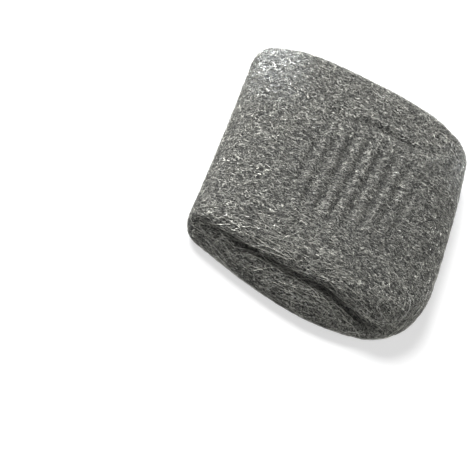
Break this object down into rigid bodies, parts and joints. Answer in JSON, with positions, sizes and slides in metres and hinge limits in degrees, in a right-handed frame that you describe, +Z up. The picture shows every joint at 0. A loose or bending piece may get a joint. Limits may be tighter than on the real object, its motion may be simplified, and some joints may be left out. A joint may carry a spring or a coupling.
{
  "type": "steel wool pad",
  "caption": "Hand pad of fine steel wool: a web of thin steel wires rolled up and pressed into a soft, flattened, slightly crowned rectangle with two folded sides.",
  "frame": {"origin": "on the surface the pad lies on, under the middle of its bounding box", "axes": "+Z up out of the crimped top face, +Y along the roll's axis towards the plain far end, +X across the pad along the wires, from one folded side to the other"},
  "size_m": [0.0856, 0.1098, 0.0205],
  "materials": {
    "steel_wool": "dense mat of fine bare steel wires, dull grey with bright glints"
  },
  "bodies": {
    "root": {"steel_wool_pad": "steel_wool"}
  },
  "joints": []
}
